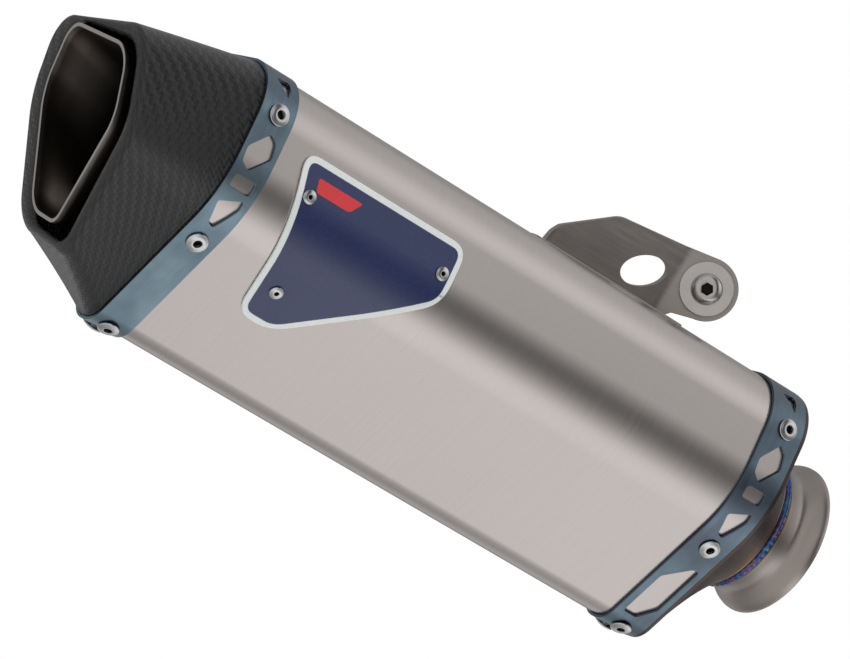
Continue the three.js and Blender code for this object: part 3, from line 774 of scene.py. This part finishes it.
def make_inlet_cap(material):
    """Inlet end cap: a skirt under the strap, a thin standing rim, and a pressed cone to the neck."""
    skirt_front, nose_x = x_range("inlet_cap")
    rim_front = x_range("rear_strap")[1] + GAP
    rim_rear = rim_front + STANDING_RIM
    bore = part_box("inlet_neck")[1][2] + 2 * GAP
    skirt_outer = -SHEET - GAP
    skirt_inner = skirt_outer - SKIRT_WALL
    face = fine(CAN, STRAP_OUTER - GAP)
    nose = circle_like(bore + CONE_WALL)
    inner_face = fine(CAN, skirt_inner)
    rings = [ring(fine(CAN, skirt_outer), skirt_front), ring(fine(CAN, skirt_outer), rim_front),
             ring(face, rim_front), ring(face, rim_rear)]
    rings.append(ring(fine(CAN, STRAP_OUTER - 2 * EDGE), rim_rear + 0.0002))
    start = fine(CAN, STRAP_OUTER - 0.0016)
    for k in range(CONE_STEPS + 1):
        t = k / CONE_STEPS
        share = t * (1 + CONE_BOW - CONE_BOW * t)
        x = rim_rear + EDGE + (nose_x - rim_rear - 2 * EDGE) * t
        rings.append(ring(blended(start, nose, share), x))
    rings.append(ring(nose, nose_x))
    rings.append(ring(circle_like(bore), nose_x))
    rings.append(ring(circle_like(bore), nose_x - 0.006))
    rings.append(ring(blended(inner_face, nose, 0.5), rim_rear + 0.006))
    rings.append(ring(inner_face, rim_rear - 0.003))
    rings.append(ring(inner_face, skirt_front))
    obj = polished(wall("inlet_end", rings), 0.0002, 45.0)
    return stand_for(obj, material, "inlet_stainless", "inlet_cap")


NECK_WALL = 0.0015


def make_neck(material):
    front, rear = x_range("inlet_neck")
    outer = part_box("inlet_neck")[1][2]
    inner = outer - NECK_WALL
    profile = [(inner, front), (inner, rear), (outer, rear), (outer, front)]
    obj = lathe("neck_tube", profile, 96, closed=True, along_x=True)
    return stand_for(polished(obj, 0.0003), material, "inlet_stainless", "inlet_neck")


BEAD_STEPS, BEAD_ROWS, RIPPLES = 540, 12, 60
RIPPLE_LEAN, RIPPLE_DEPTH = 0.35, 0.16
BEAD_EDGE = 0.25


def make_bead(material):
    """Weld bead round the neck: overlapping ripples, each a shallow scallop."""
    front, rear = x_range("inlet_weld_bead")
    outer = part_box("inlet_weld_bead")[1][2]
    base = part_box("inlet_neck")[1][2] + GAP
    vertices = []
    for k in range(BEAD_STEPS):
        angle = 2 * math.pi * k / BEAD_STEPS
        wander = 1 + 0.05 * math.sin(angle * 5) + 0.03 * math.sin(angle * 11 + 1)
        for i in range(BEAD_ROWS + 1):
            t = i / BEAD_ROWS
            bow = math.sin(math.pi * t)
            phase = (k / BEAD_STEPS * RIPPLES + RIPPLE_LEAN * bow) % 1.0
            ripple = 1 - RIPPLE_DEPTH * abs(2 * phase - 1) ** 3
            rise = BEAD_EDGE + (1 - BEAD_EDGE) * bow * ripple * wander
            radius = base + (outer - base) * min(rise, 1.0)
            x = front + (rear - front) * t
            vertices.append((x, radius * math.cos(angle), radius * math.sin(angle)))
        vertices.append(((front + rear) / 2, base * math.cos(angle), base * math.sin(angle)))
    obj = solid("weld", vertices, loop_faces(BEAD_STEPS, BEAD_ROWS + 2))
    return stand_for(polished(obj, angle=60.0), material, "heat_tinted_weld", "inlet_weld_bead")


FLARE_WALL, FLARE_RISE, FLARE_STEPS = 0.0016, 0.0058, 28
SWELL_START, SWELL_LENGTH = 0.35, 0.60


def make_flare(material):
    """Bell: a narrow waist that swells to the mouth, with a rounded edge."""
    front, rear = x_range("inlet_flare")
    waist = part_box("inlet_flare")[1][2] - FLARE_RISE
    outer = []
    inner = []
    for i in range(FLARE_STEPS + 1):
        t = i / FLARE_STEPS
        radius = waist + FLARE_RISE * eased(min(max((t - SWELL_START) / SWELL_LENGTH, 0.0), 1.0))
        x = front + (rear - front) * t
        outer.append((radius, x))
        inner.append((radius - FLARE_WALL, x))
    obj = lathe("bell", inner + outer[::-1], 128, closed=True, along_x=True)
    return stand_for(polished(obj, 0.0005, 50.0, 3), material, "flare_titanium", "inlet_flare")


# -------- badge
BADGE_OUTLINE = ((-0.331, 0.038), (-0.313, -0.034), (-0.295, -0.034), (-0.242, 0.012), (-0.242, 0.038))
BADGE_CORNER, FIELD_CORNER, ACCENT_CORNER = 0.008, 0.0045, 0.0015
BADGE_BORDER = 0.0026
PRINT = 0.0001


def inset(points, distance):
    """Polygon moved in on every side."""
    count = len(points)
    area = sum(points[i - 1][0] * points[i][1] - points[i][0] * points[i - 1][1] for i in range(count))
    turn = 1 if area > 0 else -1
    result = []
    for i in range(count):
        here = Vector(points[i])
        before = (here - Vector(points[i - 1])).normalized()
        after = (Vector(points[(i + 1) % count]) - here).normalized()
        normal_a = Vector((-before.y, before.x)) * turn
        normal_b = Vector((-after.y, after.x)) * turn
        bisector = (normal_a + normal_b).normalized()
        result.append(tuple(here + bisector * (distance / bisector.dot(normal_a))))
    return result


def on_surface(name, points, low, high, bevel):
    """Plate that follows the can between two offsets, cut to an outline in X and Z on the badge side."""
    xs = [p[0] for p in points]
    obj = shell(name, CAN, min(xs) - 0.004, max(xs) + 0.004, low, high)
    tool = prism("tool", points, 0.030, 0.090)
    tool.matrix_basis = Matrix.Rotation(math.pi / 2, 4, "X")
    carve(obj, [tool], "INTERSECT")
    return polished(obj, bevel)


def make_badge(white, navy, red):
    plate = on_surface("badge", rounded(BADGE_OUTLINE, BADGE_CORNER, 10), GAP, BADGE_TOP, 0.00025)
    carve(plate, rivet_drills("badge_rivet", 3, BADGE_HOLE, BADGE_SEAT))
    stand_for(plate, white, "badge_enamel", "badge_plate")
    print_top = BADGE_TOP + PRINT
    field = inset(BADGE_OUTLINE, BADGE_BORDER)
    obj = on_surface("badge_field", rounded(field, FIELD_CORNER, 8), BADGE_TOP - PRINT, print_top, 0.0)
    carve(obj, rivet_drills("badge_rivet", 3, BADGE_HOLE, BADGE_SEAT))
    stand_for(obj, navy, "badge_enamel")
    left, top = field[0]
    slope = (field[1][0] - left) / (field[1][1] - top)
    low, high = top - 0.0105, top - 0.0045
    accent = [(left + slope * (z - top) + inward, z) for z, inward in
              ((high, 0.006), (low, 0.006), (low, 0.024), (high, 0.030))]
    obj = on_surface("badge_accent", rounded(accent, ACCENT_CORNER, 6), BADGE_TOP, print_top + PRINT, 0.0)
    stand_for(obj, red, "badge_enamel")


# -------- hanger
FRONT_BEND = (-0.1785, 0.5)
REAR_BEND = (-0.11657, -math.tan(math.radians(30.0)))
BEND_SPREAD = 0.002
BRACKET_WALL = 0.0025
WEB_BOTTOM = 0.0556
TAB_CENTRE = Vector((-0.1031, -0.007777, 0.0784))
TAB_NORMAL = Vector((-0.5, -0.866025, 0.0))
TAB_RADIUS, TAB_HOLE = 0.0142, 0.0043
WINDOW_PLACE, WINDOW_HALF, WINDOW_TURN = (-0.1305, 0.071, 0.0), (0.0115, 0.007), 0.5
FOOT_X, FOOT_HALF_WIDTH, FOOT_Y = (-0.196, -0.108), 0.010, -0.006


def tab_matrix():
    across = Vector((0.0, 0.0, 1.0)).cross(TAB_NORMAL).normalized()
    rise = TAB_NORMAL.cross(across)
    matrix = Matrix((across, rise, TAB_NORMAL)).transposed().to_4x4()
    matrix.translation = TAB_CENTRE
    return matrix


def web_points():
    """Web outline in x and z: the front corner, the long top, the round tab and the foot's edge."""
    points = [(-0.184, WEB_BOTTOM), (-0.1815, 0.0645), (-0.1785, 0.0687), (-0.1565, 0.0842)]
    start, control, end = Vector((-0.1565, 0.0842)), Vector((-0.1535, 0.0862)), Vector((-0.1495, 0.0864))
    points += [tuple(curved(start, control, end, k / 8)) for k in range(1, 9)]
    points.append((REAR_BEND[0], 0.0902))
    across = TAB_RADIUS * math.cos(math.radians(30.0))
    for k in range(33):
        angle = math.pi / 2 - (math.pi / 2 + 1.45) * k / 32
        points.append((TAB_CENTRE.x + across * math.cos(angle), TAB_CENTRE.z + TAB_RADIUS * math.sin(angle)))
    points += [(-0.1098, 0.0617), (-0.1146, WEB_BOTTOM)]
    return points


def soft_step(distance):
    """Rise and slope at a distance past a bend with a small radius: none before it, straight after it."""
    if distance < -BEND_SPREAD:
        return 0.0, 0.0
    if distance > BEND_SPREAD:
        return distance, 1.0
    past = distance + BEND_SPREAD
    return past ** 2 / (4 * BEND_SPREAD), past / (2 * BEND_SPREAD)


def make_bracket(material):
    web = prism("bracket", web_points(), -BRACKET_WALL, 0.0)
    window = [(WINDOW_HALF[0] * x, WINDOW_HALF[1] * y) for x, y in circle(1.0, 40)]
    tool = prism("tool", window, -DRILL_REACH, DRILL_REACH)
    tool.matrix_basis = Matrix.Translation(WINDOW_PLACE) @ Matrix.Rotation(WINDOW_TURN, 4, "Z")
    carve(web, [tool])
    bm = bmesh.new()
    bm.from_mesh(web.data)
    for bend_x in (FRONT_BEND[0], REAR_BEND[0]):
        for k in range(-4, 5):
            everything = bm.verts[:] + bm.edges[:] + bm.faces[:]
            plane = (bend_x + BEND_SPREAD * k / 4, 0, 0)
            bmesh.ops.bisect_plane(bm, geom=everything, plane_co=plane, plane_no=(1, 0, 0))
    for vertex in bm.verts:
        x, z, y = vertex.co.x, vertex.co.y, -vertex.co.z
        front_rise, front_slope = soft_step(FRONT_BEND[0] - x)
        rear_rise, rear_slope = soft_step(x - REAR_BEND[0])
        shift = REAR_BEND[1] * rear_rise - FRONT_BEND[1] * front_rise
        slope = REAR_BEND[1] * rear_slope + FRONT_BEND[1] * front_slope
        vertex.co = Vector((x, y * math.hypot(1.0, slope) + shift, z))
    bm.to_mesh(web.data)
    bm.free()
    face_outward(web.data)
    front, rear = FOOT_X
    width = FOOT_HALF_WIDTH
    flat = rounded(((front, -width), (rear, -width), (rear, width), (front, width)), 0.003)
    foot = prism("tool", flat, GAP, GAP + BRACKET_WALL)
    top_y, top_z, _ = CAN[-1]
    foot_z = top_z - math.tan(CAN_TILT) * (FOOT_Y - top_y)
    foot.matrix_basis = Matrix.Translation((0.0, FOOT_Y, foot_z)) @ Matrix.Rotation(-CAN_TILT, 4, "X")
    carve(web, [foot], "UNION")
    drill = prism("tool", circle(TAB_HOLE, 48), -DRILL_REACH, DRILL_REACH)
    drill.matrix_basis = tab_matrix()
    carve(web, [drill])
    return stand_for(polished(web, 0.0003, 30.0), material, "bracket_steel", "hanger_bracket")


def placed(obj, lift):
    obj.matrix_world = tab_matrix() @ Matrix.Translation((0, 0, lift))
    bpy.context.view_layer.update()
    return obj


WASHER_RADIUS, WASHER_THICK = 0.012, 0.002


def make_washer(material):
    profile = [(TAB_HOLE, 0.0), (WASHER_RADIUS, 0.0), (WASHER_RADIUS, WASHER_THICK),
               (TAB_HOLE, WASHER_THICK)]
    obj = polished(lathe("washer", profile, 96, closed=True), 0.00035, 40.0, 3)
    stand_for(placed(obj, GAP), material, "fastener_steel", "hanger_washer", body="washer")


SHANK_RADIUS, SHANK_LENGTH = 0.0037, 0.020
PITCH, THREAD_DEPTH, THREAD_FADE, POINT_TAPER = 0.00125, 0.0006, 0.001, 0.0005
THREAD_STEPS, ROWS_PER_TURN = 48, 12
HEAD_RADIUS, HEAD_HEIGHT, HEAD_CROWN, HEAD_SIDE, HEAD_CHAMFER = 0.007, 0.0044, 0.0036, 0.0008, 0.0003
SOCKET_RADIUS, SOCKET_DEPTH = 0.0029, 0.0026


def threaded_shank():
    """Shank with a rolled M8 thread that fades out at the head and tapers at its end."""
    steps = THREAD_STEPS
    rows = int(SHANK_LENGTH / PITCH * ROWS_PER_TURN)
    vertices = []
    for i in range(rows + 1):
        z = -SHANK_LENGTH + SHANK_LENGTH * i / rows
        near_end = min((z + SHANK_LENGTH) / THREAD_FADE, 1.0)
        near_head = max(min(-z / THREAD_FADE, 1.0), 0.0)
        for k in range(steps):
            angle = 2 * math.pi * k / steps
            phase = (z / PITCH - k / steps) % 1.0
            groove = THREAD_DEPTH * (1 - abs(2 * phase - 1))
            radius = SHANK_RADIUS - groove * near_head - POINT_TAPER * (1 - near_end)
            vertices.append((radius * math.cos(angle), radius * math.sin(angle), z))
    faces = []
    for i in range(rows):
        for k in range(steps):
            n = (k + 1) % steps
            faces.append((i * steps + k, i * steps + n, (i + 1) * steps + n, (i + 1) * steps + k))
    faces.append(tuple(range(steps))[::-1])
    faces.append(tuple(rows * steps + k for k in range(steps)))
    return polished(solid("thread", vertices, faces), angle=60.0)


def make_bolt(material):
    """Button head with a hex socket, on its threaded shank."""
    shank = threaded_shank()
    profile = [(0.0, 0.0), (HEAD_RADIUS - HEAD_CHAMFER, 0.0), (HEAD_RADIUS, HEAD_CHAMFER),
               (HEAD_RADIUS, HEAD_SIDE)]
    for k in range(1, 13):
        angle = math.pi / 2 * k / 12
        profile.append((HEAD_CROWN + (HEAD_RADIUS - HEAD_CROWN) * math.cos(angle),
                        HEAD_SIDE + (HEAD_HEIGHT - HEAD_SIDE) * math.sin(angle)))
    profile.append((0.0, HEAD_HEIGHT))
    obj = lathe("bolt_head", profile, 96)
    carve(obj, [prism("tool", circle(SOCKET_RADIUS, 6), HEAD_HEIGHT - SOCKET_DEPTH, HEAD_HEIGHT + 0.002)])
    polished(obj, 0.00015, 35.0)
    lift = 2 * GAP + WASHER_THICK
    stand_for(placed(obj, lift), material, "fastener_steel", "hanger_bolt", body="bolt")
    stand_for(placed(shank, lift), material, "fastener_steel", body="bolt")


def make_nut(material):
    across, height, flange, flange_height, bore = 0.013, 0.0075, 0.0087, 0.0015, 0.004
    corner = across / math.sqrt(3)
    obj = prism("nut", circle(corner, 6), -height, -0.0002)
    around = corner + 0.0004
    chamfer = [(0.0, -height - 0.001), (corner - 0.0014, -height - 0.0001), (around, -height + 0.001),
               (around, 0.0), (0.0, 0.0)]
    carve(obj, [lathe("tool", chamfer, 64)], "INTERSECT")
    skirt = [(0.0, 0.0), (flange, 0.0), (flange, -0.0006), (corner - 0.0004, -flange_height),
             (0.0, -flange_height)]
    carve(obj, [lathe("tool", skirt, 64)], "UNION")
    carve(obj, [prism("tool", circle(bore, 40), -0.02, 0.02)])
    polished(obj, 0.0002, 30.0)
    stand_for(placed(obj, -BRACKET_WALL - 2 * GAP), material, "fastener_steel", "hanger_nut")


# -------- the object
weld_x = middle("inlet_weld_bead").x
rivet_metal = recessed("rivet_aluminium", (0.55, 0.55, 0.55), (0.72, 0.72, 0.73), 0.0004, 0.0020)
bolt_metal = recessed("bolt_steel", (0.50, 0.48, 0.465), (0.62, 0.60, 0.58), 0.0040, 0.0031)
bright_steel = brushed("fastener_steel", (0.52, 0.495, 0.48), (0.64, 0.61, 0.59), (260.0, 260.0, 260.0),
                       0.20, 0.30, mottling=90.0, depth=0.00002)
bracket_metal = brushed("bracket_steel", (0.34, 0.305, 0.28), (0.48, 0.44, 0.41), (30.0, 200.0, 500.0),
                        0.34, 0.48, mottling=30.0, depth=0.00003)
stainless = brushed("stainless", (0.42, 0.40, 0.37), (0.56, 0.54, 0.51), (400.0, 40.0, 40.0), 0.3, 0.45)
bell_metal = heated_steel("flare_titanium", (0.42, 0.375, 0.345), (0.28, 0.26, 0.25), weld_x, 0.011)
inlet_metal = heated_steel("inlet_stainless", (0.10, 0.08, 0.07), (0.20, 0.155, 0.125), weld_x, 0.022)

make_sleeve(sleeve_titanium())
strap_metal = blue_titanium()
make_strap("strap_front", "front_strap", FRONT_WINDOWS, strap_metal)
make_strap("strap_rear", "rear_strap", REAR_WINDOWS, strap_metal)
strap_rivet = rivet_mesh(0.0048, 0.0015, 0.0018, 0.0022, 0.0056)
make_rivets("front_strap_rivet", 6, strap_rivet, RIVET_SEAT, rivet_metal)
make_rivets("rear_strap_rivet", 6, strap_rivet, RIVET_SEAT, rivet_metal)
make_rivets("badge_rivet", 3, rivet_mesh(0.0031, 0.0011, 0.001, 0.0015, 0.0031), BADGE_SEAT, rivet_metal)
make_cap(carbon_fibre())
make_tip(tip_titanium(tip_rim_x()))
make_inlet_cap(inlet_metal)
make_neck(inlet_metal)
make_bead(weld_bead())
make_flare(bell_metal)
make_badge(enamel("badge_white", (0.78, 0.82, 0.81), (0.86, 0.89, 0.88)),
           enamel("badge_navy", (0.010, 0.020, 0.085), (0.022, 0.034, 0.115)),
           enamel("badge_red", (0.62, 0.020, 0.028), (0.75, 0.035, 0.040)))
make_bracket(bracket_metal)
make_washer(bright_steel)
make_bolt(bolt_metal)
make_nut(bright_steel)

for node, material in (("perforated_core", stainless), ("outlet_bulkhead", stainless),
                       ("packing_wool", glass_wool())):
    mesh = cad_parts[node].data
    mesh.materials.clear()
    mesh.materials.append(material)

# -------- floor, light and camera
FLOOR_DROP = 0.35
FLOOR_RADIUS, FLOOR_THICK = 1.3, 0.01
OBJECT_X = -0.2


def make_floor():
    profile = [(0.0, 0.0), (FLOOR_RADIUS, 0.0), (FLOOR_RADIUS, -FLOOR_THICK), (0.0, -FLOOR_THICK)]
    obj = lathe("floor", profile, 96)
    obj.location = (OBJECT_X, 0.0, -FLOOR_DROP)
    obj.visible_glossy = False
    paint = Paint("pale_floor", metallic=0.0, roughness=0.8)
    speck = paint.noise(30.0)
    paint.use(paint.ramp(speck, ((0.0, (0.90, 0.90, 0.90)), (1.0, (0.94, 0.94, 0.94)))))
    obj.data.materials.append(paint.material)


# Brightness of what reflections see, from straight down (0) to straight up (1).
ROOM_RAMP = ((0.0, 0.35), (0.08, 0.50), (0.15, 0.92), (0.27, 0.95), (0.40, 0.32), (0.48, 0.13),
             (0.55, 0.14), (0.66, 0.52), (0.75, 0.72), (0.84, 0.85), (0.92, 0.75), (1.0, 0.50))
CAMERA_LEVEL, DIFFUSE_LEVEL = 1.0, 0.45
GAP_LEVEL, SIDE_LEVEL, WALL_LEVEL = 0.06, 0.55, 0.60


def make_world():
    """White to the camera, dim to diffuse light. Reflections see a studio that is brighter on the badge
    side, with a dark gap over that side, a grey side at the outlet and a pale wall behind."""
    world = bpy.data.worlds.new("studio")
    bpy.context.scene.world = world
    world.use_nodes = True
    tree = world.node_tree
    tree.nodes.clear()
    link = tree.links.new

    def make(kind, **settings):
        node = tree.nodes.new("ShaderNode" + kind)
        for key, value in settings.items():
            setattr(node, key, value)
        return node

    def plain(value):
        node = make("Background")
        node.inputs["Color"].default_value = (value, value, value, 1.0)
        return node.outputs[0]

    def span(value, low, high, to_low=0.0, to_high=1.0, kind="SMOOTHSTEP"):
        node = make("MapRange", interpolation_type=kind)
        for socket, number in ((1, low), (2, high), (3, to_low), (4, to_high)):
            node.inputs[socket].default_value = number
        link(value, node.inputs[0])
        return node.outputs[0]

    def times(a, b):
        node = make("Math", operation="MULTIPLY")
        link(a, node.inputs[0])
        link(b, node.inputs[1])
        return node.outputs[0]

    def shade_to(factor, colour, value):
        node = make("Mix", data_type="RGBA")
        link(factor, node.inputs[0])
        link(colour, node.inputs[6])
        node.inputs[7].default_value = (value, value, value, 1.0)
        return node.outputs[2]

    def choose(switch, off, on):
        node = make("MixShader")
        for socket, source in enumerate((switch, off, on)):
            link(source, node.inputs[socket])
        return node.outputs[0]

    split = make("SeparateXYZ")
    link(make("TexCoord").outputs["Generated"], split.inputs[0])
    x, y, z = (split.outputs[axis] for axis in "XYZ")
    ramp = make("ValToRGB")
    elements = ramp.color_ramp.elements
    while len(elements) < len(ROOM_RAMP):
        elements.new(0.5)
    for element, (place, value) in zip(elements, ROOM_RAMP):
        element.position = place
        element.color = (value, value, value, 1.0)
    link(span(z, -1.0, 1.0, kind="LINEAR"), ramp.inputs["Fac"])
    gap = times(span(x, -0.35, -0.10), span(x, 0.22, 0.42, 1.0, 0.0))
    gap = times(times(gap, span(z, 0.0, 0.2)), span(y, -0.2, 0.2, 1.0, 0.0))
    colour = shade_to(gap, ramp.outputs["Color"], GAP_LEVEL)
    colour = shade_to(span(x, 0.0, -0.45), colour, SIDE_LEVEL)
    wall_behind = times(span(y, 0.45, 0.80), span(z, -0.05, 0.10))
    colour = shade_to(wall_behind, colour, WALL_LEVEL)
    room = make("Background")
    link(colour, room.inputs["Color"])
    link(span(y, 0.60, -0.30, 0.60, 1.15, kind="LINEAR"), room.inputs["Strength"])
    path = make("LightPath")
    light = choose(path.outputs["Is Diffuse Ray"], room.outputs[0], plain(DIFFUSE_LEVEL))
    seen = choose(path.outputs["Is Camera Ray"], light, plain(CAMERA_LEVEL))
    link(seen, make("OutputWorld").inputs["Surface"])


LAMP_HEIGHT, LAMP_SIDE, LAMP_POWER = 2.6, 4.0, 90.0


def make_lamp():
    """Square ceiling lamp that points straight down."""
    light = bpy.data.lights.new("ceiling", "AREA")
    light.shape = "RECTANGLE"
    light.size = light.size_y = LAMP_SIDE
    light.energy = LAMP_POWER
    obj = bpy.data.objects.new("ceiling", light)
    obj.location = (OBJECT_X, 0.0, LAMP_HEIGHT)
    obj.visible_glossy = False
    bpy.context.scene.collection.objects.link(obj)


def make_camera():
    """The view: 30 degrees round from square on, level, rolled so that the can runs down to the right."""
    turn, roll, distance, lens = math.radians(30.0), math.radians(31.15), 2.428, 246.8
    aim = Vector((-0.241, -0.055, 0.0))
    forward = Vector((math.sin(turn), math.cos(turn), 0.0))
    level = Vector((math.cos(turn), -math.sin(turn), 0.0))
    up = Vector((0.0, 0.0, 1.0))
    right = level * math.cos(roll) + up * math.sin(roll)
    top = up * math.cos(roll) - level * math.sin(roll)
    camera = bpy.data.objects.new("camera", bpy.data.cameras.new("camera"))
    camera.data.lens = lens
    camera.data.sensor_width = 36.0
    camera.data.clip_end = 100.0
    matrix = Matrix((right, top, -forward)).transposed().to_4x4()
    matrix.translation = aim - forward * distance
    camera.matrix_world = matrix
    bpy.context.scene.collection.objects.link(camera)
    bpy.context.scene.camera = camera


make_floor()
make_world()
make_lamp()
make_camera()
bpy.context.scene.view_settings.view_transform = "Standard"
